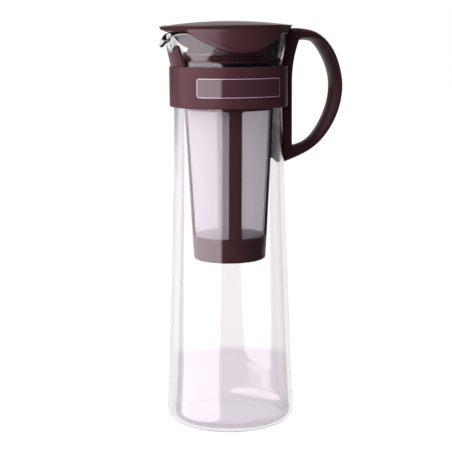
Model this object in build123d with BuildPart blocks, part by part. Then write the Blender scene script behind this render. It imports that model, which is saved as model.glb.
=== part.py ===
"""Cold brew coffee maker: a glass jug with a band and handle, a lid and a lift-out strainer.

Millimetres, +Z up. The origin is on the jug's axis, on the surface it stands on.
The spout points to -X and the handle to +X.
"""
import os
from math import asin, cos, radians, sin

from build123d import *

# ---------------------------------------------------------------- driving dimensions
# Glass jug
jug_height = 292.0          # base to lip
foot_radius = 48.4          # widest part, just above the base
foot_corner = 10.3          # outside radius between base and wall
lower_radius = 45.0
lower_height = 80.0
upper_radius = 42.4
upper_height = 150.0
neck_radius = 40.4          # outside of the straight neck
neck_length = 32.0
shoulder_height = 24.0      # from the neck up to the lip
lip_radius = 43.8           # outside of the flared mouth
glass_wall = 2.2
glass_floor = 3.2

# Pouring spout, drawn out of the lip
spout_reach = 53.3          # axis to tip
spout_root_width = 26.0
spout_root_depth = 17.0     # bottom of the trough below the lip
spout_wall = 1.5            # the glass is drawn out thinner here
spout_middle_width = 16.5
spout_middle_depth = 9.6
spout_middle_drop = 3.0     # how far the spout's edge has fallen half way out
spout_tip_width = 8.5
spout_tip_depth = 10.8
spout_tip_drop = 7.4

# Band round the neck
band_height = 29.5
band_drop = 0.5             # below the shoulder
band_thickness = 3.2
band_edge = 0.8             # rounding of its outer edges
band_clearance = 0.1        # it grips the glass
band_slit = 0.7             # the ring is split under the spout
horn_height = 15.5          # above the band's top edge
horn_spacing = 21.6         # between the two tips
horn_root_width = 28.6
horn_tip_width = 2.8
horn_notch = 9.2            # bottom of the V above the band's top edge
horn_tip_rounding = 1.1
horn_thickness = 2.0
horn_lean = 1.2             # the tips stand off the glass by this much

# Handle
handle_width = 22.0
handle_reach = 90.7         # axis to the outside of the grip
handle_crown = 2.8          # how far the outside is rounded out
handle_edge = 1.2           # thickness of the grip along its edges
handle_drop = 0.3           # upper edge below the lip, without the crown
handle_height = 94.8        # between its edges, without the crown
bar_face = 46.3             # axis to the outside of the upright bar
gap_under_top = 4.1         # finger gap below the handle's upper edge
gap_over_foot = 7.5
gap_crown = 2.0             # how far the inside of the grip is rounded out
crown_inset = 0.3           # both crowns rise this far in from the grip's sides
crown_root = 0.15           # and from this far under its surface
gap_low_corner = 5.0
gap_high_corner = 4.0
root_lean = 6.4             # the bar thickens by this much at its top
root_height = 32.5

# Film on the band
film_height = 14.3
film_start_angle = 37.0     # degrees round from the spout
film_end_angle = 126.0
film_thickness = 0.25
film_corner = 2.4

# Lid
lid_radius = 46.8
lid_rim = 4.7               # height of the rim
lid_rise = 3.0              # height of the dome over the rim
lid_flat = 2.5              # width of the flat round the dome
lid_shell = 1.9
lid_gap = 0.3               # between the lid and what it sits on
rim_bevel = 2.4             # under the rim, all round
rim_edge = 0.6              # bevel of its upper edge
beak_length = 6.8           # beyond the rim
beak_tip_radius = 3.0
beak_tip_thickness = 1.5
beak_droop = 1.2            # how far the beak's tip has fallen
beak_flat = 0.6             # between the dome and the fall of the beak
apron_inset = 1.3           # the aprons stand this far inside the rim
apron_wall = 1.6
apron_depth = 14.5          # below the rim, at its lowest
apron_front = -39.5         # X of the end near the spout
apron_lowest = -6.0
apron_back = 28.0
apron_curl = 0.38           # each end curls over this far along to the lowest point
apron_front_fill = 0.66     # depth reached there, as shares of the whole
apron_back_fill = 0.63
scoop_depth = 1.0           # finger scoop that leaves a lip along the apron's edge
scoop_shift = 5.0
scoop_lift = 0.6
skirt_radius = 33.6
skirt_wall = 1.6
window_half_angle = 52.0    # pouring window in the skirt
window_sill = 1.5
window_corner = 5.5

# Strainer
collar_fit = 0.3            # between the collar and the glass
collar_rise = 0.3           # its lower edge above the bottom of the shoulder
collar_height = 7.2
collar_radius = 33.6        # outside of its mouth
collar_edge = 4.2           # height of its edge, which rests on the shoulder
cage_top_radius = 32.9      # outside, at the window head
cage_low_radius = 27.6      # outside, at the bottom of the cage
cage_wall = 1.8
cage_ring = 6.0             # closed ring below the windows
window_height = 93.7
window_drop = 32.6          # window heads below the collar
mesh_corner = 2.0           # corners of the mesh windows
rib_count = 4
rib_width = 9.3
rib_turn = -13.0            # degrees; the strainer stands at any angle in the neck
mesh_thickness = 0.3
mesh_margin = 1.5           # mesh held behind the ribs

# Cup that closes the strainer
cup_height = 12.0
cup_taper = 0.7
cup_corner = 2.2
cup_wall = 1.6
spigot_height = 4.0
spigot_wall = 1.4
spigot_fit = 0.25
cup_gap = 0.15              # between the cup's rim and the cage

# ---------------------------------------------------------------- derived values
neck_top = jug_height - shoulder_height
neck_bottom = neck_top - neck_length
band_top = neck_top - band_drop
band_bottom = band_top - band_height
band_inner = neck_radius + band_clearance
band_outer = band_inner + band_thickness
lid_seat = jug_height + lid_gap
rim_top = lid_seat + lid_rim
dome_top = rim_top + lid_rise
beak_reach = lid_radius + beak_length
apron_radius = lid_radius - apron_inset
handle_top = jug_height - handle_drop
handle_foot = handle_top - handle_height
gap_top = handle_top - gap_under_top
gap_bottom = handle_foot + gap_over_foot
grip_edge = handle_reach - handle_crown
collar_bottom = neck_top + collar_rise
collar_top = collar_bottom + collar_height
window_head = collar_bottom - window_drop
window_foot = window_head - window_height
cage_bottom = window_foot - cage_ring
cup_bottom = cage_bottom - cup_height
shoulder_slope = (lip_radius - neck_radius) / (jug_height - neck_top)
cage_slope = (cage_top_radius - cage_low_radius) / (window_head - cage_bottom)


def shoulder_radius(z):
    """Outside radius of the glass on its flared shoulder."""
    return neck_radius + shoulder_slope * (z - neck_top)


def cage_radius(z):
    """Outside radius of the strainer's tapered cage."""
    return cage_low_radius + cage_slope * (z - cage_bottom)


# Upright sketch planes: the first has X and Z as its axes, the second Y and Z.
side_plane = Plane(origin=(0, 0, 0), x_dir=(1, 0, 0), z_dir=(0, -1, 0))
front_plane = Plane(origin=(0, 0, 0), x_dir=(0, 1, 0), z_dir=(1, 0, 0))


def ring_section(*corners):
    """Half section of a turned form, from its corners as (radius, height)."""
    with BuildSketch(side_plane) as section:
        with BuildLine():
            Polyline(*corners, close=True)
        make_face()
    return section.sketch


def jug_section(inset, floor, top):
    """Half section of the jug as a solid form, pulled in by inset all round."""
    foot_start = (foot_radius - foot_corner, floor)
    shoulder_start = (neck_radius - inset, neck_top)
    shoulder_end = (shoulder_radius(top) - inset, top)
    with BuildSketch(side_plane) as section:
        with BuildLine():
            foot = JernArc(foot_start, (1, 0), foot_corner - inset, 90)
            wall = Spline(
                foot @ 1,
                (lower_radius - inset, lower_height),
                (upper_radius - inset, upper_height),
                (neck_radius - inset, neck_bottom),
                tangents=[(0, 1), (0, 1)],
            )
            Polyline(wall @ 1, shoulder_start, shoulder_end, (0, top), (0, floor), foot_start)
        make_face()
    return section.sketch


def spout_section(x, width, top, depth):
    """Section across the spout at x: straight top, round bottom at depth below the lip."""
    with BuildSketch(front_plane.offset(x)) as section:
        with BuildLine():
            ThreePointArc((-width / 2, top), (0, jug_height - depth), (width / 2, top))
            Line((width / 2, top), (-width / 2, top))
        make_face()
    return section.sketch


def apron_outline(shift_x, shift_z):
    """Side view of an apron: a scallop that hangs from the rim."""
    drop = apron_depth - shift_z
    front_curl = apron_front + apron_curl * (apron_lowest - apron_front)
    back_curl = apron_back + apron_curl * (apron_lowest - apron_back)
    with BuildSketch(side_plane) as outline:
        with BuildLine():
            scallop = Spline(
                (apron_front + shift_x, lid_seat + shift_z),
                (front_curl + shift_x, lid_seat - apron_front_fill * drop),
                (apron_lowest + shift_x, lid_seat - drop),
                (back_curl + shift_x, lid_seat - apron_back_fill * drop),
                (apron_back + shift_x, lid_seat + shift_z),
            )
            Polyline(
                scallop @ 1,
                (apron_back + shift_x, rim_top - lid_shell),
                (apron_front + shift_x, rim_top - lid_shell),
                scallop @ 0,
            )
        make_face()
    return outline.sketch


def lid_plan(z, inset):
    """Plan of the lid with its beak at height z, pulled in by inset all round."""
    with BuildSketch(Plane.XY.offset(z)) as plan:
        Circle(lid_radius - inset)
        with Locations((beak_tip_radius - beak_reach, 0)):
            Circle(beak_tip_radius - inset)
        make_hull()
    return plan.sketch


def save(part, name):
    """Label a finished piece and write it to parts/."""
    part.label = name
    export_step(part, f"parts/{name}.step")


os.makedirs("parts", exist_ok=True)

# ---------------------------------------------------------------- glass jug
# Blown borosilicate glass. The lip is drawn out into a drooping spout.
spout_root_x = -(neck_radius - glass_wall)
spout_middle_x = -(spout_reach + neck_radius) / 2
above_lip = 12.0            # how far the cuts run past the lip
past_tip = 3.0              # and past the spout's tip
trough_top = jug_height + above_lip

with BuildPart() as glass_jug:
    revolve(profiles=jug_section(0, 0, jug_height), axis=Axis.Z)
    loft(
        sections=[
            spout_section(spout_root_x, spout_root_width, jug_height, spout_root_depth),
            spout_section(
                spout_middle_x,
                spout_middle_width,
                jug_height - spout_middle_drop,
                spout_middle_depth,
            ),
            spout_section(
                -spout_reach, spout_tip_width, jug_height - spout_tip_drop, spout_tip_depth
            ),
        ]
    )
    split(bisect_by=Plane.XY.offset(jug_height), keep=Keep.BOTTOM)
    revolve(
        profiles=jug_section(glass_wall, glass_floor, trough_top),
        axis=Axis.Z,
        mode=Mode.SUBTRACT,
    )
    loft(
        sections=[
            spout_section(x, width - 2 * spout_wall, trough_top, depth - spout_wall)
            for x, width, depth in (
                (spout_root_x + spout_wall, spout_root_width, spout_root_depth),
                (spout_middle_x, spout_middle_width, spout_middle_depth),
                (-spout_reach - past_tip, spout_tip_width, spout_tip_depth),
            )
        ],
        mode=Mode.SUBTRACT,
    )
save(glass_jug.part, "glass_jug")

# ---------------------------------------------------------------- band round the neck
# One springy ring, split under the spout, with a horn either side of the split.
horn_top = band_top + horn_height
horn_root = band_top - band_edge
horn_inner = shoulder_radius(horn_top) + band_clearance + horn_lean

with BuildPart() as horns:
    revolve(
        profiles=ring_section(
            (band_inner, horn_root),
            (band_inner + horn_thickness, horn_root),
            (horn_inner + horn_thickness, horn_top),
            (horn_inner, horn_top),
            (band_inner, neck_top),
        ),
        axis=Axis.Z,
    )
    with BuildSketch(front_plane):
        for side in (-1, 1):
            with BuildLine():
                Polyline(
                    (0, horn_root),
                    (side * horn_root_width / 2, horn_root),
                    (side * (horn_spacing + horn_tip_width) / 2, horn_top),
                    (side * (horn_spacing - horn_tip_width) / 2, horn_top),
                    (0, band_top + horn_notch),
                    close=True,
                )
            make_face()
        fillet(vertices().group_by(Axis.Y)[-1], radius=horn_tip_rounding)
    extrude(amount=-spout_reach, mode=Mode.INTERSECT)

with BuildPart() as neck_band:
    with BuildSketch(Plane.XY.offset(band_bottom)):
        Circle(band_outer)
        Circle(band_inner, mode=Mode.SUBTRACT)
    extrude(amount=band_height)
    fillet(edges().filter_by(GeomType.CIRCLE).group_by(SortBy.RADIUS)[-1], radius=band_edge)
    add(horns.part)
    with BuildSketch(front_plane):
        with Locations((0, (band_bottom + horn_top) / 2)):
            Rectangle(band_slit, horn_top - band_bottom)
    extrude(amount=-spout_reach, mode=Mode.SUBTRACT)
save(neck_band.part, "neck_band")

# ---------------------------------------------------------------- handle
# Open loop grip on an upright bar that lies against the glass and over the band.
# The outside of the loop and the finger gap, from foot to top, as shares of reach and height.
loop_shape = [
    (0.27, 0.061),
    (0.61, 0.163),
    (0.85, 0.309),
    (0.975, 0.46),
    (1.0, 0.6),
    (0.95, 0.72),
    (0.82, 0.855),
    (0.62, 0.95),
    (0.42, 0.988),
    (0.2, 1.0),
]
gap_shape = [
    (0.43, 0.045),
    (0.72, 0.17),
    (0.922, 0.355),
    (1.0, 0.56),
    (0.93, 0.735),
    (0.8, 0.86),
    (0.65, 0.95),
    (0.5, 0.99),
    (0.36, 1.0),
]
loop_points = [
    (
        bar_face + across * (grip_edge - bar_face),
        handle_foot + up * (handle_top - handle_foot),
    )
    for across, up in loop_shape
]
gap_points = [
    (
        bar_face + across * (grip_edge - handle_edge - bar_face),
        gap_bottom + up * (gap_top - gap_bottom),
    )
    for across, up in gap_shape
]
foot_point = (neck_radius + handle_edge, handle_foot)
foot_direction = (1, 0.35)
top_direction = (-1, 0)
gap_direction = (1, 0)
end_pull = (0.5, 0.3)       # how firmly a curve sets off and arrives in those directions
crown_half_width = handle_width / 2 - crown_inset

with BuildPart() as grip_crown:
    with BuildLine(side_plane) as grip_line:
        Spline(
            foot_point,
            *loop_points,
            tangents=[foot_direction, top_direction],
            tangent_scalars=end_pull,
        )
        Line(loop_points[-1], (lid_radius, handle_top))
    crown_plane = Plane(origin=grip_line.line @ 0, x_dir=(0, 1, 0), z_dir=grip_line.line % 0)
    with BuildSketch(crown_plane):
        with BuildLine():
            ThreePointArc(
                (-crown_half_width, crown_root), (0, -handle_crown), (crown_half_width, crown_root)
            )
            Polyline(
                (crown_half_width, crown_root),
                (crown_half_width, handle_edge / 2),
                (-crown_half_width, handle_edge / 2),
                (-crown_half_width, crown_root),
            )
        make_face()
    sweep(path=grip_line.line)

with BuildPart() as gap_rounding:
    with BuildLine(side_plane) as gap_line:
        Line((neck_radius + band_thickness, gap_bottom), (bar_face, gap_bottom))
        Spline(
            (bar_face, gap_bottom),
            *gap_points,
            tangents=[gap_direction, top_direction],
            tangent_scalars=end_pull,
        )
        Line(gap_points[-1], (bar_face, gap_top))
    rounding_plane = Plane(origin=gap_line.line @ 0, x_dir=(0, 1, 0), z_dir=gap_line.line % 0)
    with BuildSketch(rounding_plane):
        with BuildLine():
            ThreePointArc(
                (-crown_half_width, -crown_root), (0, gap_crown), (crown_half_width, -crown_root)
            )
            Polyline(
                (crown_half_width, -crown_root),
                (crown_half_width, -handle_edge / 2),
                (-crown_half_width, -handle_edge / 2),
                (-crown_half_width, -crown_root),
            )
        make_face()
    sweep(path=gap_line.line, is_frenet=True)

with BuildPart() as handle:
    with BuildSketch(side_plane):
        with BuildLine():
            loop = Spline(
                foot_point,
                *loop_points,
                tangents=[foot_direction, top_direction],
                tangent_scalars=end_pull,
            )
            Polyline(loop @ 1, (0, handle_top), (0, handle_foot), loop @ 0)
        make_face()
    extrude(amount=handle_width / 2, both=True)
    with BuildSketch(side_plane):
        with BuildLine():
            gap = Spline(
                (bar_face, gap_bottom),
                *gap_points,
                tangents=[gap_direction, top_direction],
                tangent_scalars=end_pull,
            )
            ceiling = Line(gap @ 1, (bar_face + root_lean, gap_top))
            lean = Spline(
                ceiling @ 1,
                (bar_face, gap_top - root_height),
                tangents=[(-0.4, -1), (0, -1)],
            )
            Line(lean @ 1, gap @ 0)
        make_face()
        fillet(vertices().sort_by(Axis.Y)[0], radius=gap_low_corner)
        fillet(vertices().group_by(Axis.Y)[-1].sort_by(Axis.X)[0], radius=gap_high_corner)
    extrude(amount=handle_width, both=True, mode=Mode.SUBTRACT)
    add(grip_crown.part)
    add(gap_rounding.part)
    revolve(
        profiles=jug_section(-band_clearance, 0, jug_height + above_lip),
        axis=Axis.Z,
        mode=Mode.SUBTRACT,
    )
    with BuildSketch(Plane.XY.offset(band_bottom)):
        Circle(band_outer)
    extrude(amount=band_height, mode=Mode.SUBTRACT)
    with BuildSketch(Plane.XY.offset(jug_height - lid_gap)):
        Circle(lid_radius + collar_fit)
    extrude(amount=above_lip, mode=Mode.SUBTRACT)
save(handle.part, "handle")

# ---------------------------------------------------------------- film on the band
# Thin glossy film wrapped on the near side of the band.
film_middle = radians((film_start_angle + film_end_angle) / 2)
film_half = radians((film_end_angle - film_start_angle) / 2)
film_bottom = band_bottom + (band_height - film_height) / 2
film_outer = band_outer + film_thickness
film_plane = Plane(
    origin=(0, 0, film_bottom + film_height / 2),
    x_dir=(sin(film_middle), -cos(film_middle), 0),
    z_dir=(-cos(film_middle), -sin(film_middle), 0),
)

with BuildPart() as band_film:
    with BuildSketch(Plane.XY.offset(film_bottom)):
        Circle(film_outer)
        Circle(band_outer, mode=Mode.SUBTRACT)
    extrude(amount=film_height)
    with BuildSketch(film_plane):
        RectangleRounded(2 * film_outer * sin(film_half), film_height, film_corner)
    extrude(amount=film_outer + film_thickness, mode=Mode.INTERSECT)
save(band_film.part, "band_film")

# ---------------------------------------------------------------- lid
# Domed lid with a beak over the spout, an apron down each side for the fingers
# and a skirt inside the neck with a window to pour through.
lid_under = rim_top - lid_shell
seat_inside = lip_radius - glass_wall - lid_gap
skirt_inner = skirt_radius - skirt_wall
skirt_bottom = collar_top + lid_gap
dome_edge = lid_radius - lid_flat
apron_inner = apron_radius - apron_wall
apron_bottom = lid_seat - apron_depth
window_half_width = skirt_radius * sin(radians(window_half_angle))
cut_margin = 1.0

with BuildPart() as aprons:
    revolve(
        profiles=ring_section(
            (apron_inner, apron_bottom - cut_margin),
            (apron_radius, apron_bottom - cut_margin),
            (apron_radius, lid_under),
            (apron_inner, lid_under),
        ),
        axis=Axis.Z,
    )
    extrude(apron_outline(0, 0), amount=lid_radius, both=True, mode=Mode.INTERSECT)

with BuildPart() as scoops:
    revolve(
        profiles=ring_section(
            (apron_radius - scoop_depth, apron_bottom),
            (apron_radius + scoop_depth, apron_bottom),
            (apron_radius + scoop_depth, lid_seat),
            (apron_radius, lid_seat),
        ),
        axis=Axis.Z,
    )
    extrude(
        apron_outline(scoop_shift, scoop_lift),
        amount=lid_radius + cut_margin,
        both=True,
        mode=Mode.INTERSECT,
    )

with BuildPart() as lid:
    loft(
        sections=[
            lid_plan(lid_seat, rim_bevel),
            lid_plan(rim_top - rim_edge, 0),
            lid_plan(rim_top, rim_edge),
        ],
        ruled=True,
    )
    with BuildSketch(side_plane):
        with BuildLine():
            Polyline(
                (-dome_edge - beak_flat, rim_top),
                (-beak_reach, rim_top),
                (-beak_reach, rim_top - beak_droop),
                close=True,
            )
        make_face()
        with BuildLine():
            Polyline(
                (-lid_radius + rim_bevel, lid_seat),
                (-beak_reach, lid_seat),
                (-beak_reach, rim_top - beak_droop - beak_tip_thickness),
                close=True,
            )
        make_face()
    extrude(amount=lid_radius, both=True, mode=Mode.SUBTRACT)
    with BuildSketch(side_plane):
        with BuildLine():
            dome = ThreePointArc((-dome_edge, rim_top), (0, dome_top), (dome_edge, rim_top))
            Line(dome @ 1, dome @ 0)
        make_face()
        split(bisect_by=Plane.YZ, keep=Keep.TOP)
    revolve(axis=Axis.Z)
    with BuildSketch(Plane.XY.offset(lid_under)):
        Circle(seat_inside)
    extrude(amount=-lid_rim, mode=Mode.SUBTRACT)
    with BuildSketch(Plane.XY.offset(skirt_bottom)):
        Circle(skirt_radius)
        Circle(skirt_inner, mode=Mode.SUBTRACT)
    extrude(amount=lid_under - skirt_bottom)
    add(aprons.part)
    add(scoops.part, mode=Mode.SUBTRACT)
    with BuildSketch(front_plane):
        with BuildLine():
            Polyline(
                (-window_half_width, lid_under),
                (window_half_width, lid_under),
                (window_half_width, skirt_bottom + window_sill),
                (-window_half_width, skirt_bottom + window_sill),
                close=True,
            )
        make_face()
        fillet(vertices().group_by(Axis.Y)[0], radius=window_corner)
    extrude(amount=-skirt_radius - cut_margin, mode=Mode.SUBTRACT)
save(lid.part, "lid")

# ---------------------------------------------------------------- strainer frame
# Moulded collar and tapered cage in one. The collar hangs on the shoulder of the glass.
edge_top = collar_bottom + collar_edge
edge_low_radius = shoulder_radius(collar_bottom) - glass_wall - collar_fit
edge_high_radius = shoulder_radius(edge_top) - glass_wall - collar_fit
mesh_low = window_foot - mesh_margin
mesh_high = window_head + mesh_margin
cage_head_radius = cage_radius(mesh_high)


def window_plane(index):
    """Upright plane through the axis that faces out of one mesh window."""
    turn = radians(rib_turn + 360 / rib_count * (index + 0.5))
    return Plane(origin=(0, 0, 0), x_dir=(-sin(turn), cos(turn), 0), z_dir=(cos(turn), sin(turn), 0))


def window_width(z):
    """Half width of a mesh window where the ribs keep their full width."""
    radius = cage_radius(z)
    return radius * sin(radians(180 / rib_count) - asin(rib_width / 2 / radius))


def window_outline(index, margin, corner):
    """One mesh window seen square on, grown by margin all round."""
    low = window_foot - margin
    high = window_head + margin
    with BuildSketch(window_plane(index)) as outline:
        with BuildLine():
            Polyline(
                (-window_width(low) - margin, low),
                (window_width(low) + margin, low),
                (window_width(high) + margin, high),
                (-window_width(high) - margin, high),
                close=True,
            )
        make_face()
        fillet(vertices(), radius=corner)
    return outline.sketch


with BuildPart() as strainer_frame:
    revolve(
        profiles=ring_section(
            (cage_low_radius, cage_bottom),
            (cage_head_radius, mesh_high),
            (collar_radius, collar_bottom),
            (edge_low_radius, collar_bottom),
            (edge_high_radius, edge_top),
            (collar_radius, collar_top),
            (collar_radius - cage_wall, collar_top),
            (collar_radius - cage_wall, collar_bottom),
            (cage_head_radius - cage_wall, mesh_high),
            (cage_low_radius - cage_wall, cage_bottom),
        ),
        axis=Axis.Z,
    )
    for index in range(rib_count):
        extrude(
            window_outline(index, 0, mesh_corner),
            amount=cage_top_radius + cage_wall,
            mode=Mode.SUBTRACT,
        )
save(strainer_frame.part, "strainer_frame")

# ---------------------------------------------------------------- mesh panels
# Fine woven panels, bonded to the inside of the cage behind each window.
mesh_outer_low = cage_radius(mesh_low) - cage_wall
mesh_outer_high = cage_head_radius - cage_wall

for index in range(rib_count):
    with BuildPart() as mesh_panel:
        revolve(
            profiles=ring_section(
                (mesh_outer_low, mesh_low),
                (mesh_outer_high, mesh_high),
                (mesh_outer_high - mesh_thickness, mesh_high),
                (mesh_outer_low - mesh_thickness, mesh_low),
            ),
            axis=Axis.Z,
        )
        extrude(
            window_outline(index, mesh_margin, mesh_corner),
            amount=cage_top_radius,
            mode=Mode.INTERSECT,
        )
    save(mesh_panel.part, f"mesh_panel_{index + 1}")

# ---------------------------------------------------------------- strainer cup
# Pushes up into the bottom of the cage and pulls off to empty the grounds.
cup_rim = cage_bottom - cup_gap
cup_low_radius = cage_low_radius - cup_taper
spigot_radius = cage_low_radius - cage_wall - spigot_fit
spigot_top = cage_bottom + spigot_height
spigot_root = cup_rim - cup_wall

with BuildPart() as strainer_cup:
    revolve(
        profiles=ring_section(
            (0, cup_bottom),
            (cup_low_radius, cup_bottom),
            (cage_low_radius, cup_rim),
            (spigot_radius, cup_rim),
            (spigot_radius, spigot_top),
            (spigot_radius - spigot_wall, spigot_top),
            (spigot_radius - spigot_wall, spigot_root),
            (cup_low_radius - cup_wall, cup_bottom + cup_wall),
            (0, cup_bottom + cup_wall),
        ),
        axis=Axis.Z,
    )
    fillet(edges().group_by(Axis.Z)[0], radius=cup_corner)
save(strainer_cup.part, "strainer_cup")
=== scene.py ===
# Cold brew coffee maker, dressed for rendering: a glass jug with a clip-on band and handle,
# a domed lid, and a lift-out mesh strainer with its cup. Metres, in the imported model's frame:
# the spout points to -X, the handle to +X, and the jug stands on z = 0.
from math import atan2, cos, hypot, pi, radians, sin

import bpy
from mathutils import Euler, Matrix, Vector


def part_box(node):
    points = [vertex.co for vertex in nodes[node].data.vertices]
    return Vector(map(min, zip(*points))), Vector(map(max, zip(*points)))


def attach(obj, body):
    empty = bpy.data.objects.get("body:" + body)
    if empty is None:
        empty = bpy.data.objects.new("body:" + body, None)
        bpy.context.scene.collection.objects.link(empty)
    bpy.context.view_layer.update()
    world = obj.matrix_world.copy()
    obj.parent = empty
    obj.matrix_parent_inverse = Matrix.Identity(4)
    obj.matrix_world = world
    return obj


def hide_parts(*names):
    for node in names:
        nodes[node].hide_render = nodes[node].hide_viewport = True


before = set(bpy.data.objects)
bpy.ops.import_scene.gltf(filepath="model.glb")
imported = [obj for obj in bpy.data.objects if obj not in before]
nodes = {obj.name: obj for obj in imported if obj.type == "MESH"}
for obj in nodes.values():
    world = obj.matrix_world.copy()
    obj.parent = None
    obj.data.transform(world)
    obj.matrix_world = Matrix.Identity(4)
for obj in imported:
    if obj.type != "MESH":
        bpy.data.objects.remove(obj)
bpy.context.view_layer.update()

# ---------------------------------------------------------------- camera
# A long lens on a stand level with the lid, a little round to the spout's side. It looks
# down along the jug, and is a touch out of level.
view_lens = 100.1            # millimetres, on a sensor 36 mm wide
view_sensor = 36
view_azimuth = 21.5          # degrees round from square on, towards the spout
view_distance = 0.932
view_height = 0.297
view_pitch = 9.085           # degrees down
view_yaw = 0.16              # the jug stands a little right of centre
view_roll = 0.37

camera = bpy.data.objects.new("camera", bpy.data.cameras.new("camera"))
bpy.context.scene.collection.objects.link(camera)
camera.data.sensor_width = view_sensor
camera.data.lens = view_lens
camera.location = (
    -view_distance * sin(radians(view_azimuth)),
    -view_distance * cos(radians(view_azimuth)),
    view_height,
)
facing = Euler((radians(90 - view_pitch), 0, radians(view_yaw - view_azimuth))).to_matrix()
camera.rotation_euler = (facing @ Matrix.Rotation(radians(-view_roll), 3, "Z")).to_euler()
bpy.context.scene.camera = camera
bpy.context.scene.view_settings.view_transform = "Standard"


# ---------------------------------------------------------------- white paper sweep
# The jug stands on a wide sheet of plain matt paper, cut from a roll and laid flat on the
# table. It runs on behind the jug, far enough to have no edge in view.
def linear(hex_colour):
    """A linear RGBA colour from an sRGB hex value."""
    channels = [int(hex_colour[i : i + 2], 16) / 255 for i in (1, 3, 5)]
    curve = [c / 12.92 if c <= 0.04045 else ((c + 0.055) / 1.055) ** 2.4 for c in channels]
    return (*curve, 1.0)


def add_node(tree, kind, inputs=None, **settings):
    """Add a shader node with its settings. An input is a value, or the socket that feeds it."""
    made = tree.nodes.new(kind)
    for name, value in settings.items():
        setattr(made, name, value)
    for name, value in (inputs or {}).items():
        if isinstance(value, bpy.types.NodeSocket):
            tree.links.new(value, made.inputs[name])
        else:
            made.inputs[name].default_value = value
    return made


def new_material(name):
    """An empty node material and its tree."""
    material = bpy.data.materials.new(name)
    material.use_nodes = True
    material.node_tree.nodes.clear()
    return material, material.node_tree


def dress(piece, material):
    """Give a piece one material all over."""
    piece.data.materials.clear()
    piece.data.materials.append(material)


paper_size = 8.0
paper_colour = "#A6A6A6"
paper_shade = "#6E6E6E"      # how deep the jug's shadow looks on it
paper_glow = 0.90            # with the light on it, the paper comes out white to the eye
near_colour = "#E9E0E9"      # near the jug it looks a little deeper through the glass
near_radius = 0.22
near_edge = 0.02

bpy.ops.object.select_all(action="DESELECT")
bpy.ops.mesh.primitive_plane_add(size=paper_size, location=(0, 0, 0))
floor = bpy.context.object
floor.name = "paper_floor"

# Uncoated paper: dead matt and white, so it takes the jug's shadow softly. The eye sees it
# glow to white, and a reflection looks past it into the dim room.
material, tree = new_material("matt_white_paper")
path = add_node(tree, "ShaderNodeLightPath")
eye = add_node(
    tree,
    "ShaderNodeMath",
    {0: path.outputs["Is Camera Ray"], 1: path.outputs["Is Transmission Ray"]},
    operation="MAXIMUM",
)
mirrored = add_node(
    tree, "ShaderNodeMath", {0: path.outputs["Glossy Depth"], 1: 0.5}, operation="GREATER_THAN"
)
lit = add_node(tree, "ShaderNodeBsdfDiffuse", {"Color": linear(paper_colour)})
shaded = add_node(tree, "ShaderNodeBsdfDiffuse", {"Color": linear(paper_shade)})
place = add_node(tree, "ShaderNodeTexCoord")
from_jug = add_node(
    tree, "ShaderNodeVectorMath", {0: place.outputs["Object"]}, operation="LENGTH"
)
near_jug = add_node(
    tree,
    "ShaderNodeMapRange",
    {
        "Value": from_jug.outputs["Value"],
        "From Min": near_radius,
        "From Max": near_radius - near_edge,
    },
)
through_glass = add_node(
    tree,
    "ShaderNodeMath",
    {0: near_jug.outputs["Result"], 1: path.outputs["Is Transmission Ray"]},
    operation="MULTIPLY",
)
glow_colour = add_node(
    tree,
    "ShaderNodeMix",
    {"Factor": through_glass.outputs[0], "A": linear("#FFFFFF"), "B": linear(near_colour)},
    data_type="RGBA",
)
glow = add_node(
    tree, "ShaderNodeEmission", {"Color": glow_colour.outputs["Result"], "Strength": paper_glow}
)
white = add_node(tree, "ShaderNodeAddShader", {0: shaded.outputs[0], 1: glow.outputs[0]})
paper = add_node(
    tree, "ShaderNodeMixShader", {0: eye.outputs[0], 1: lit.outputs[0], 2: white.outputs[0]}
)
clear = add_node(tree, "ShaderNodeBsdfTransparent")
mixed = add_node(
    tree, "ShaderNodeMixShader", {0: mirrored.outputs[0], 1: paper.outputs[0], 2: clear.outputs[0]}
)
add_node(tree, "ShaderNodeOutputMaterial", {"Surface": mixed.outputs[0]})
dress(floor, material)

# ---------------------------------------------------------------- studio light
# One large round soft box on the spout's side lights the jug. A white backdrop below the
# horizon stands behind it with a duller wall over that, and the rest of the room is dim. The
# eye meets this room only in reflections: straight, or through the glass, all is white.
soft_box_azimuth = 187.6     # degrees round from +X
soft_box_height = 25.0       # degrees above the horizon
soft_box_radius = 53.5       # degrees
soft_box_softness = 0.03
soft_box_light = 3.9
soft_box_colour = "#FFF3FC"
backdrop_azimuth = 77.0      # its middle, in degrees round from +X
backdrop_half_width = 54.0   # degrees
backdrop_softness = 0.04     # of its edges and the wall's
backdrop_top = -4.0          # degrees above the horizon
wall_light = 0.8             # the wall behind, over the backdrop
wall_azimuth = 68.0
wall_half_width = 30.0
wall_foot = 1.0              # both in degrees above the horizon
wall_top = 20.0
room_light = 0.03
ceiling_light = 0.25         # straight overhead, fading to nothing at its foot
ceiling_foot = 35.0          # degrees above the horizon

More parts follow.
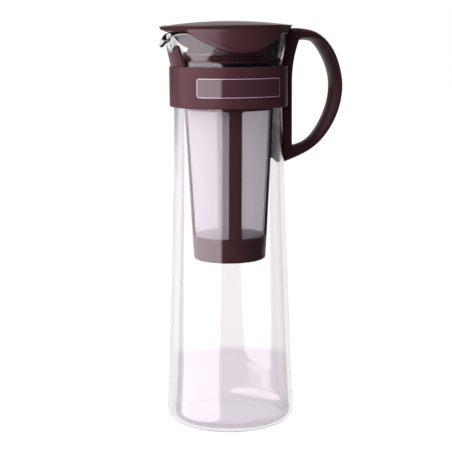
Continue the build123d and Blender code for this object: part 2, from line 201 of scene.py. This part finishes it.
world = bpy.data.worlds.new("studio")
bpy.context.scene.world = world
world.use_nodes = True
tree = world.node_tree
tree.nodes.clear()
place = add_node(tree, "ShaderNodeTexCoord")
towards_box = add_node(
    tree,
    "ShaderNodeVectorMath",
    {
        0: place.outputs["Generated"],
        1: (
            cos(radians(soft_box_height)) * cos(radians(soft_box_azimuth)),
            cos(radians(soft_box_height)) * sin(radians(soft_box_azimuth)),
            sin(radians(soft_box_height)),
        ),
    },
    operation="DOT_PRODUCT",
)
soft_box = add_node(
    tree,
    "ShaderNodeMapRange",
    {
        "Value": towards_box.outputs["Value"],
        "From Min": cos(radians(soft_box_radius)) - soft_box_softness,
        "From Max": cos(radians(soft_box_radius)) + soft_box_softness,
        "To Min": 0.0,
        "To Max": soft_box_light,
    },
)
level = add_node(
    tree, "ShaderNodeVectorMath", {0: place.outputs["Generated"], 1: (1, 1, 0)}, operation="MULTIPLY"
)
round_about = add_node(
    tree, "ShaderNodeVectorMath", {0: level.outputs["Vector"]}, operation="NORMALIZE"
)
towards_backdrop = add_node(
    tree,
    "ShaderNodeVectorMath",
    {
        0: round_about.outputs["Vector"],
        1: (cos(radians(backdrop_azimuth)), sin(radians(backdrop_azimuth)), 0),
    },
    operation="DOT_PRODUCT",
)
across = add_node(
    tree,
    "ShaderNodeMapRange",
    {
        "Value": towards_backdrop.outputs["Value"],
        "From Min": cos(radians(backdrop_half_width)) - backdrop_softness,
        "From Max": cos(radians(backdrop_half_width)) + backdrop_softness,
    },
)
up = add_node(tree, "ShaderNodeSeparateXYZ", {"Vector": place.outputs["Generated"]})
below_top = add_node(
    tree,
    "ShaderNodeMapRange",
    {
        "Value": up.outputs["Z"],
        "From Min": sin(radians(backdrop_top)) + backdrop_softness,
        "From Max": sin(radians(backdrop_top)) - backdrop_softness,
    },
)
backdrop = add_node(
    tree,
    "ShaderNodeMath",
    {0: across.outputs["Result"], 1: below_top.outputs["Result"]},
    operation="MULTIPLY",
)
towards_wall = add_node(
    tree,
    "ShaderNodeVectorMath",
    {
        0: round_about.outputs["Vector"],
        1: (cos(radians(wall_azimuth)), sin(radians(wall_azimuth)), 0),
    },
    operation="DOT_PRODUCT",
)
wall_across = add_node(
    tree,
    "ShaderNodeMapRange",
    {
        "Value": towards_wall.outputs["Value"],
        "From Min": cos(radians(wall_half_width)) - backdrop_softness,
        "From Max": cos(radians(wall_half_width)) + backdrop_softness,
        "To Max": wall_light,
    },
)
over_wall_foot = add_node(
    tree,
    "ShaderNodeMapRange",
    {
        "Value": up.outputs["Z"],
        "From Min": sin(radians(wall_foot)),
        "From Max": sin(radians(wall_foot)) + backdrop_softness,
    },
)
under_wall_top = add_node(
    tree,
    "ShaderNodeMapRange",
    {
        "Value": up.outputs["Z"],
        "From Min": sin(radians(wall_top)) + backdrop_softness,
        "From Max": sin(radians(wall_top)) - backdrop_softness,
    },
)
wall_rise = add_node(
    tree,
    "ShaderNodeMath",
    {0: over_wall_foot.outputs["Result"], 1: under_wall_top.outputs["Result"]},
    operation="MULTIPLY",
)
wall = add_node(
    tree,
    "ShaderNodeMath",
    {0: wall_across.outputs["Result"], 1: wall_rise.outputs[0]},
    operation="MULTIPLY",
)
ceiling = add_node(
    tree,
    "ShaderNodeMapRange",
    {
        "Value": up.outputs["Z"],
        "From Min": sin(radians(ceiling_foot)),
        "To Min": room_light,
        "To Max": ceiling_light,
    },
)
bright_things = add_node(
    tree,
    "ShaderNodeMath",
    {0: backdrop.outputs[0], 1: wall.outputs[0]},
    operation="MAXIMUM",
)
white_room = add_node(
    tree,
    "ShaderNodeMath",
    {0: bright_things.outputs[0], 1: ceiling.outputs["Result"]},
    operation="MAXIMUM",
)
tinted_box = add_node(
    tree,
    "ShaderNodeVectorMath",
    {0: linear(soft_box_colour)[:3], "Scale": soft_box.outputs["Result"]},
    operation="SCALE",
)
room = add_node(
    tree,
    "ShaderNodeVectorMath",
    {0: tinted_box.outputs["Vector"], 1: white_room.outputs[0]},
    operation="MAXIMUM",
)

# A look that has met no reflection finds white paper, and so does one that was reflected twice
# or more inside the glass. One reflection, as on the plastic, finds the room.
path = add_node(tree, "ShaderNodeLightPath")
eye = add_node(
    tree,
    "ShaderNodeMath",
    {0: path.outputs["Is Camera Ray"], 1: path.outputs["Is Transmission Ray"]},
    operation="MAXIMUM",
)
straight = add_node(
    tree, "ShaderNodeMath", {0: path.outputs["Glossy Depth"], 1: 0.5}, operation="LESS_THAN"
)
trapped = add_node(
    tree, "ShaderNodeMath", {0: path.outputs["Glossy Depth"], 1: 1.5}, operation="GREATER_THAN"
)
clean = add_node(
    tree, "ShaderNodeMath", {0: straight.outputs[0], 1: trapped.outputs[0]}, operation="MAXIMUM"
)
seen = add_node(
    tree, "ShaderNodeMath", {0: eye.outputs[0], 1: clean.outputs[0]}, operation="MULTIPLY"
)
light = add_node(
    tree,
    "ShaderNodeMix",
    {"Factor": seen.outputs[0], "A": room.outputs["Vector"], "B": (1, 1, 1)},
    data_type="VECTOR",
)
sky = add_node(tree, "ShaderNodeBackground", {"Color": light.outputs["Result"], "Strength": 1.0})
add_node(tree, "ShaderNodeOutputWorld", {"Surface": sky.outputs[0]})

# ---------------------------------------------------------------- glass jug
# Blown borosilicate glass with a fire-polished rim. The lip is drawn out, while still soft,
# into a thin spout that curls over and droops. The base is flat with a wide rounded corner.
glass_wall = 0.0022
base_ring = 0.012            # where the flat base is closed
base_middle_ring = 0.026
foot_radius = 0.0484
foot_corner = 0.0103
wall_rings = [               # radius and height, up the outside of the wall
    (0.0476, 0.018),
    (0.0467, 0.035),
    (0.0458, 0.055),
    (0.0450, 0.080),
    (0.0441, 0.105),
    (0.0431, 0.130),
    (0.0424, 0.150),
    (0.0416, 0.175),
    (0.0409, 0.205),
    (0.0404, 0.236),
    (0.0404, 0.252),
    (0.0404, 0.262),
    (0.0404, 0.268),
    (0.0404, 0.2695),
]
shoulder_steps = 16
shoulder_line = [            # the flare is steepest at its foot and straightens up to the lip
    (0.0405, 0.2710),
    (0.0416, 0.2755),
    (0.0425, 0.2803),
    (0.0432, 0.2856),
    (0.0438, 0.2915),
]
shoulder_foot = shoulder_line[0]
lip = shoulder_line[-1]
spout_spread = 29.0          # degrees either side of the spout's middle that are drawn out
spout_line = [               # middle of the drawn spout, from the shoulder's foot to its tip
    (0.0405, 0.2710),
    (0.0424, 0.2730),
    (0.0440, 0.2755),
    (0.0454, 0.2787),
    (0.0466, 0.2818),
    (0.0476, 0.2840),
    (0.0488, 0.2852),
    (0.0503, 0.2834),
    (0.0513, 0.2802),
]
spout_fullness = 0.5         # below 1 its sides bulge outwards
spout_depth = 2.4            # above 1 its sides stand up into a trough
spout_pinch = 0.10           # its tip is this much narrower than its root
jug_sides = 72
ring_reach = 0.0001          # the base's inmost ring is picked with this to spare
weld_reach = 0.00001         # vertices nearer than this are one
glass_colour = "#FFFFFF"
glass_shadow = "#F6F8F8"     # what the clear wall leaves of the light that passes it
glass_cast = "#D2C6D0"
glass_cast_density = 50.0
glass_wave = 0.0357          # from one slow wave in the blown wall to the next


def turn_shell(name, rings, sides):
    """Raise a round shell from its first ring upwards, each ring drawn out of the last."""
    bpy.ops.object.select_all(action="DESELECT")
    radius, height = rings[0]
    bpy.ops.mesh.primitive_circle_add(
        vertices=sides, radius=radius, fill_type="NOTHING", location=(0, 0, height)
    )
    made = bpy.context.object
    made.name = name
    bpy.ops.object.transform_apply(location=True, rotation=False, scale=False)
    bpy.ops.object.mode_set(mode="EDIT")
    bpy.ops.mesh.select_all(action="SELECT")
    for next_radius, next_height in rings[1:]:
        bpy.ops.mesh.extrude_region_move(
            TRANSFORM_OT_translate={"value": (0, 0, next_height - height)}
        )
        share = next_radius / radius
        bpy.ops.transform.resize(value=(share, share, 1), center_override=(0, 0, next_height))
        radius, height = next_radius, next_height
    bpy.ops.mesh.select_all(action="SELECT")
    bpy.ops.mesh.normals_make_consistent(inside=False)
    bpy.ops.object.mode_set(mode="OBJECT")
    return made


def along(line, share):
    """The point at a share of the way along a line of (radius, height) points."""
    place = share * (len(line) - 1)
    index = min(int(place), len(line) - 2)
    part = place - index
    first, second = line[index], line[index + 1]
    return tuple(a + (b - a) * part for a, b in zip(first, second))


base_radius = foot_radius - foot_corner
floor_rings = [(base_ring, 0.0), (base_middle_ring, 0.0), (base_radius, 0.0)]
corner_rings = [
    (
        base_radius + foot_corner * sin(radians(turn)),
        foot_corner - foot_corner * cos(radians(turn)),
    )
    for turn in (18, 36, 54, 72, 90)
]
shoulder_rings = [
    along(shoulder_line, step / shoulder_steps) for step in range(shoulder_steps + 1)
]
jug = turn_shell(
    "blown_glass_jug", floor_rings + corner_rings + wall_rings + shoulder_rings, jug_sides
)

# The base is closed in its middle, and the spout drawn out of the soft lip.
bpy.ops.object.mode_set(mode="EDIT")
bpy.ops.mesh.select_all(action="DESELECT")
bpy.ops.object.mode_set(mode="OBJECT")
for vertex in jug.data.vertices:
    inmost = hypot(vertex.co.x, vertex.co.y) < base_ring + ring_reach
    vertex.select = inmost and vertex.co.z < ring_reach
bpy.ops.object.mode_set(mode="EDIT")
bpy.ops.mesh.extrude_region_move(TRANSFORM_OT_translate={"value": (0, 0, 0)})
bpy.ops.mesh.merge(type="CENTER")
bpy.ops.mesh.select_all(action="SELECT")
bpy.ops.mesh.remove_doubles(threshold=weld_reach)
bpy.ops.mesh.normals_make_consistent(inside=False)
bpy.ops.object.mode_set(mode="OBJECT")
for vertex in jug.data.vertices:
    place = vertex.co
    share = (place.z - shoulder_foot[1]) / (lip[1] - shoulder_foot[1])
    turn = abs(atan2(place.y, -place.x)) / radians(spout_spread)
    if share <= 0 or turn >= 1:
        continue
    pull = 0.5 + 0.5 * cos(pi * turn)
    radius = hypot(place.x, place.y)
    drawn_radius, drawn_height = along(spout_line, min(share, 1))
    grown = 1 + pull**spout_fullness * (drawn_radius / radius - 1)
    narrowed = 1 - spout_pinch * pull * share
    vertex.co = (
        place.x * grown,
        place.y * narrowed,
        place.z + pull**spout_depth * (drawn_height - place.z),
    )
bpy.context.view_layer.objects.active = jug
wall = jug.modifiers.new("wall", "SOLIDIFY")
wall.thickness = glass_wall
wall.offset = -1
wall.use_even_offset = False
smooth = jug.modifiers.new("fire_polish", "SUBSURF")
smooth.levels = 2
smooth.render_levels = 2
for modifier in ("wall", "fire_polish"):
    bpy.ops.object.modifier_apply(modifier=modifier)
bpy.ops.object.shade_smooth()

# Clear borosilicate, blown and fire-polished: colourless and mirror-smooth, with a faint
# mauve-grey cast in its thick edges, and slow waves in the wall that make reflections swim a
# little. Shadow and bounced light pass straight through it.
material, tree = new_material("blown_borosilicate_glass")
place = add_node(tree, "ShaderNodeTexCoord")
waves = add_node(
    tree,
    "ShaderNodeTexNoise",
    {"Vector": place.outputs["Object"], "Scale": 1 / glass_wave, "Detail": 1.0, "Roughness": 0.4},
)
waving = add_node(
    tree,
    "ShaderNodeBump",
    {"Height": waves.outputs["Fac"], "Strength": 0.25, "Distance": 0.0004},
)
clear = add_node(
    tree,
    "ShaderNodeBsdfPrincipled",
    {
        "Base Color": linear(glass_colour),
        "Roughness": 0.0,
        "IOR": 1.47,
        "Transmission Weight": 1.0,
        "Normal": waving.outputs["Normal"],
    },
)
passing = add_node(tree, "ShaderNodeBsdfTransparent", {"Color": linear(glass_shadow)})
path = add_node(tree, "ShaderNodeLightPath")
unseen = add_node(
    tree,
    "ShaderNodeMath",
    {0: path.outputs["Is Shadow Ray"], 1: path.outputs["Is Diffuse Ray"]},
    operation="MAXIMUM",
)
mixed = add_node(
    tree, "ShaderNodeMixShader", {0: unseen.outputs[0], 1: clear.outputs[0], 2: passing.outputs[0]}
)
cast = add_node(
    tree,
    "ShaderNodeVolumeAbsorption",
    {"Color": linear(glass_cast), "Density": glass_cast_density},
)
add_node(
    tree, "ShaderNodeOutputMaterial", {"Surface": mixed.outputs[0], "Volume": cast.outputs[0]}
)
dress(jug, material)
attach(jug, "jug")
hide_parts("glass_jug")

# ---------------------------------------------------------------- neck band
# A springy ring injection-moulded in brown polypropylene. It snaps round the neck, is split
# under the spout, and ends in two horns that steady the spout.
brown_deep = "#3F2629"
brown_light = "#4A2D30"
# Painted shade: the near-black that creases and corners are darkened towards.
brown_painted_crease_shade = "#0C0506"
painted_shade_reach = 0.0025        # how far a crease's dark reaches
edge_rounding = 0.0004
satin_low = 0.26             # the sheen's roughness, which follows the flow marks
satin_high = 0.36
flow_mark = 0.0455           # from one flow mark to the next
mould_grain = 0.000556       # coarser than the real texture, which is too fine to show

# Moulded polypropylene: satin with a slightly waxy sheen, faint flow marks in its colour, and
# the fine orange-peel of the mould, which spreads its highlights. Shade is painted nearly
# black into its creases, so that seams and lips read as fine dark lines.
material, tree = new_material("moulded_brown_polypropylene")
place = add_node(tree, "ShaderNodeTexCoord")
flow = add_node(
    tree,
    "ShaderNodeTexNoise",
    {"Vector": place.outputs["Object"], "Scale": 1 / flow_mark, "Detail": 3.0, "Roughness": 0.5},
)
brown = add_node(
    tree,
    "ShaderNodeMix",
    {"Factor": flow.outputs["Fac"], "A": linear(brown_deep), "B": linear(brown_light)},
    name="brown",
    data_type="RGBA",
)
# Painted shade: ambient occlusion darkens the brown towards near black in creases and corners.
painted_crease_shade = add_node(tree, "ShaderNodeAmbientOcclusion", {"Distance": painted_shade_reach}, samples=8)
brown_with_painted_shade = add_node(
    tree,
    "ShaderNodeMix",
    {"Factor": painted_crease_shade.outputs["AO"], "A": linear(brown_painted_crease_shade), "B": brown.outputs["Result"]},
    data_type="RGBA",
)
satin = add_node(
    tree,
    "ShaderNodeMapRange",
    {"Value": flow.outputs["Fac"], "To Min": satin_low, "To Max": satin_high},
)
peel = add_node(
    tree,
    "ShaderNodeTexNoise",
    {"Vector": place.outputs["Object"], "Scale": 1 / mould_grain, "Detail": 2.0, "Roughness": 0.5},
)
rounded = add_node(tree, "ShaderNodeBevel", {"Radius": edge_rounding}, samples=4)
peeling = add_node(
    tree,
    "ShaderNodeBump",
    {
        "Height": peel.outputs["Fac"],
        "Strength": 0.12,
        "Distance": 0.0001,
        "Normal": rounded.outputs["Normal"],
    },
)
plastic = add_node(
    tree,
    "ShaderNodeBsdfPrincipled",
    {
        "Base Color": brown_with_painted_shade.outputs["Result"],
        "Roughness": satin.outputs["Result"],
        "IOR": 1.49,
        "Specular IOR Level": 0.12,
        "Normal": peeling.outputs["Normal"],
    },
    name="plastic",
)
add_node(tree, "ShaderNodeOutputMaterial", {"Surface": plastic.outputs[0]})
polypropylene = material
dress(nodes["neck_band"], polypropylene)

# ---------------------------------------------------------------- handle
# Open loop grip moulded in the same polypropylene, on a bar that clips over the band.
# It has hardly a shine, and painted shade makes it a little deeper in tone than the band.
# Painted shade: these browns stand for the band's brown in the shadow of the jug and band.
grip_painted_shade_deep = "#2E1A1C"
grip_painted_shade_light = "#372023"
grip_shine = 0.05

# A shaded copy of the plastic: painted shade in its browns, and less shine.
matt = polypropylene.copy()
matt.name = "shaded_matt_brown_polypropylene"
matt.node_tree.nodes["plastic"].inputs["Specular IOR Level"].default_value = grip_shine
matt.node_tree.nodes["brown"].inputs["A"].default_value = linear(grip_painted_shade_deep)
matt.node_tree.nodes["brown"].inputs["B"].default_value = linear(grip_painted_shade_light)
dress(nodes["handle"], matt)

# ---------------------------------------------------------------- film on the band
# A strip of self-adhesive polyester film, stuck round the near side of the band. A pale
# hairline is printed just inside its edge.
film_start_angle = 37        # degrees round from the spout, towards the near side
film_end_angle = 126
film_radius = 0.04395
film_low, film_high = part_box("band_film")
film_middle = radians(180 + 0.5 * (film_start_angle + film_end_angle))
film_half_arc = film_radius * radians(0.5 * (film_end_angle - film_start_angle))
film_half_height = (film_high[2] - film_low[2]) / 2
film_centre = (film_high[2] + film_low[2]) / 2
border_inset = 0.0006
border_width = 0.0004
border_corner = 0.0018
film_colour = "#452C33"
border_colour = "#C9B6BE"
gloss_low = 0.05             # its roughness, where clean and where smudged
gloss_high = 0.12
smudge = 0.0167              # from one patch of duller gloss to the next

# Printed polyester film: very glossy over a plum-brown ink, a little duller in patches where
# it has been handled.
material, tree = new_material("printed_polyester_film")
place = add_node(tree, "ShaderNodeTexCoord")
turned = add_node(
    tree,
    "ShaderNodeMapping",
    {"Vector": place.outputs["Object"], "Rotation": (0, 0, -film_middle)},
)
axes = add_node(tree, "ShaderNodeSeparateXYZ", {"Vector": turned.outputs["Vector"]})
angle = add_node(
    tree, "ShaderNodeMath", {0: axes.outputs["Y"], 1: axes.outputs["X"]}, operation="ARCTAN2"
)
arc = add_node(tree, "ShaderNodeMath", {0: angle.outputs[0], 1: film_radius}, operation="MULTIPLY")
rise = add_node(tree, "ShaderNodeMath", {0: axes.outputs["Z"], 1: film_centre}, operation="SUBTRACT")
from_middle = add_node(tree, "ShaderNodeMath", {0: arc.outputs[0]}, operation="ABSOLUTE")
from_centre = add_node(tree, "ShaderNodeMath", {0: rise.outputs[0]}, operation="ABSOLUTE")
past_end = add_node(
    tree,
    "ShaderNodeMath",
    {0: from_middle.outputs[0], 1: film_half_arc - border_inset - border_corner},
    operation="SUBTRACT",
)
past_top = add_node(
    tree,
    "ShaderNodeMath",
    {0: from_centre.outputs[0], 1: film_half_height - border_inset - border_corner},
    operation="SUBTRACT",
)
out_end = add_node(tree, "ShaderNodeMath", {0: past_end.outputs[0], 1: 0.0}, operation="MAXIMUM")
out_top = add_node(tree, "ShaderNodeMath", {0: past_top.outputs[0], 1: 0.0}, operation="MAXIMUM")
corner_point = add_node(
    tree, "ShaderNodeCombineXYZ", {"X": out_end.outputs[0], "Y": out_top.outputs[0]}
)
to_corner = add_node(
    tree, "ShaderNodeVectorMath", {0: corner_point.outputs["Vector"]}, operation="LENGTH"
)
inner = add_node(
    tree,
    "ShaderNodeMath",
    {0: past_end.outputs[0], 1: past_top.outputs[0]},
    operation="MAXIMUM",
)
inner_low = add_node(tree, "ShaderNodeMath", {0: inner.outputs[0], 1: 0.0}, operation="MINIMUM")
outside = add_node(
    tree,
    "ShaderNodeMath",
    {0: to_corner.outputs["Value"], 1: inner_low.outputs[0]},
    operation="ADD",
)
from_line = add_node(
    tree, "ShaderNodeMath", {0: outside.outputs[0], 1: border_corner}, operation="SUBTRACT"
)
line_distance = add_node(tree, "ShaderNodeMath", {0: from_line.outputs[0]}, operation="ABSOLUTE")
on_line = add_node(
    tree,
    "ShaderNodeMath",
    {0: line_distance.outputs[0], 1: border_width / 2},
    operation="LESS_THAN",
)
ink = add_node(
    tree,
    "ShaderNodeMix",
    {"Factor": on_line.outputs[0], "A": linear(film_colour), "B": linear(border_colour)},
    data_type="RGBA",
)
smudges = add_node(
    tree,
    "ShaderNodeTexNoise",
    {"Vector": place.outputs["Object"], "Scale": 1 / smudge, "Detail": 2.0},
)
gloss = add_node(
    tree,
    "ShaderNodeMapRange",
    {"Value": smudges.outputs["Fac"], "To Min": gloss_low, "To Max": gloss_high},
)
film = add_node(
    tree,
    "ShaderNodeBsdfPrincipled",
    {"Base Color": ink.outputs["Result"], "Roughness": gloss.outputs["Result"], "IOR": 1.6},
)
add_node(tree, "ShaderNodeOutputMaterial", {"Surface": film.outputs[0]})
dress(nodes["band_film"], material)

# ---------------------------------------------------------------- strainer frame
# Collar and tapered cage, moulded in one in the same polypropylene. It hangs in the neck by
# the collar, and its four ribs run down to a ring that takes the cup.
dress(nodes["strainer_frame"], polypropylene)

# ---------------------------------------------------------------- mesh panels
# Fine woven polyester, cut to shape and bonded behind the cage's four windows. It lets the
# coffee through and keeps the grounds in.
thread_pitch = 0.0009        # the real threads are 0.15 mm apart, too fine to show
cage_radius = 0.030          # where the threads are counted
thread_colour = "#E2E1E4"
# Painted shade: the grey of the weave where it dips down between two threads.
gap_painted_shade = "#C6C4C6"       # down between two threads
through_colour = "#E0D8DE"   # of the light that comes through a thread
through_share = 0.35
open_in_gap = 0.76           # how much comes straight through, between threads and on them
open_on_thread = 0.56
panel_count = 4

# Woven polyester mesh: white monofilament with a soft sheen, and open enough between its
# threads that some light comes straight through it. Shade is painted a little grey where the
# weave dips between threads.
material, tree = new_material("woven_polyester_mesh")
place = add_node(tree, "ShaderNodeTexCoord")
axes = add_node(tree, "ShaderNodeSeparateXYZ", {"Vector": place.outputs["Object"]})
angle = add_node(
    tree, "ShaderNodeMath", {0: axes.outputs["Y"], 1: axes.outputs["X"]}, operation="ARCTAN2"
)
across = add_node(
    tree,
    "ShaderNodeMath",
    {0: angle.outputs[0], 1: 2 * pi * round(cage_radius / thread_pitch)},
    operation="MULTIPLY",
)
upward = add_node(
    tree,
    "ShaderNodeMath",
    {0: axes.outputs["Z"], 1: 2 * pi / thread_pitch},
    operation="MULTIPLY",
)
warp = add_node(tree, "ShaderNodeMath", {0: across.outputs[0]}, operation="SINE")
weft = add_node(tree, "ShaderNodeMath", {0: upward.outputs[0]}, operation="SINE")
crossing = add_node(
    tree, "ShaderNodeMath", {0: warp.outputs[0], 1: weft.outputs[0]}, operation="MULTIPLY"
)
threads = add_node(
    tree,
    "ShaderNodeMapRange",
    {"Value": crossing.outputs[0], "From Min": -1.0, "From Max": 1.0},
)
# Painted shade grey between the threads, white on them.
white = add_node(
    tree,
    "ShaderNodeMix",
    {"Factor": threads.outputs["Result"], "A": linear(gap_painted_shade), "B": linear(thread_colour)},
    data_type="RGBA",
)
woven = add_node(
    tree,
    "ShaderNodeBump",
    {"Height": threads.outputs["Result"], "Strength": 0.3, "Distance": 0.0002},
)
cloth = add_node(
    tree,
    "ShaderNodeBsdfPrincipled",
    {
        "Base Color": white.outputs["Result"],
        "Roughness": 0.6,
        "Sheen Weight": 0.2,
        "Normal": woven.outputs["Normal"],
    },
)
holes = add_node(tree, "ShaderNodeBsdfTransparent", {"Color": linear("#FFFFFF")})
lit_through = add_node(tree, "ShaderNodeBsdfTranslucent", {"Color": linear(through_colour)})
thread_glow = add_node(
    tree, "ShaderNodeMixShader", {0: through_share, 1: cloth.outputs[0], 2: lit_through.outputs[0]}
)
open_share = add_node(
    tree,
    "ShaderNodeMapRange",
    {"Value": threads.outputs["Result"], "To Min": open_in_gap, "To Max": open_on_thread},
)
mixed = add_node(
    tree,
    "ShaderNodeMixShader",
    {0: open_share.outputs["Result"], 1: thread_glow.outputs[0], 2: holes.outputs[0]},
)
add_node(tree, "ShaderNodeOutputMaterial", {"Surface": mixed.outputs[0]})
for number in range(1, panel_count + 1):
    dress(nodes[f"mesh_panel_{number}"], material)

# ---------------------------------------------------------------- strainer cup
# A shallow cup moulded in the same polypropylene. It closes the cage's lower end with a push
# fit, and pulls off to empty the grounds.
dress(nodes["strainer_cup"], polypropylene)

# ---------------------------------------------------------------- lid
# Domed lid moulded in the same polypropylene, with a beak over the spout, a finger apron down
# each side, and a skirt inside the neck with a window to pour through. It takes a clearer
# shine from the soft box than the band does.
lid_shine = 0.35

glossy = polypropylene.copy()
glossy.name = "glossy_brown_polypropylene"
glossy.node_tree.nodes["plastic"].inputs["Specular IOR Level"].default_value = lid_shine
dress(nodes["lid"], glossy)
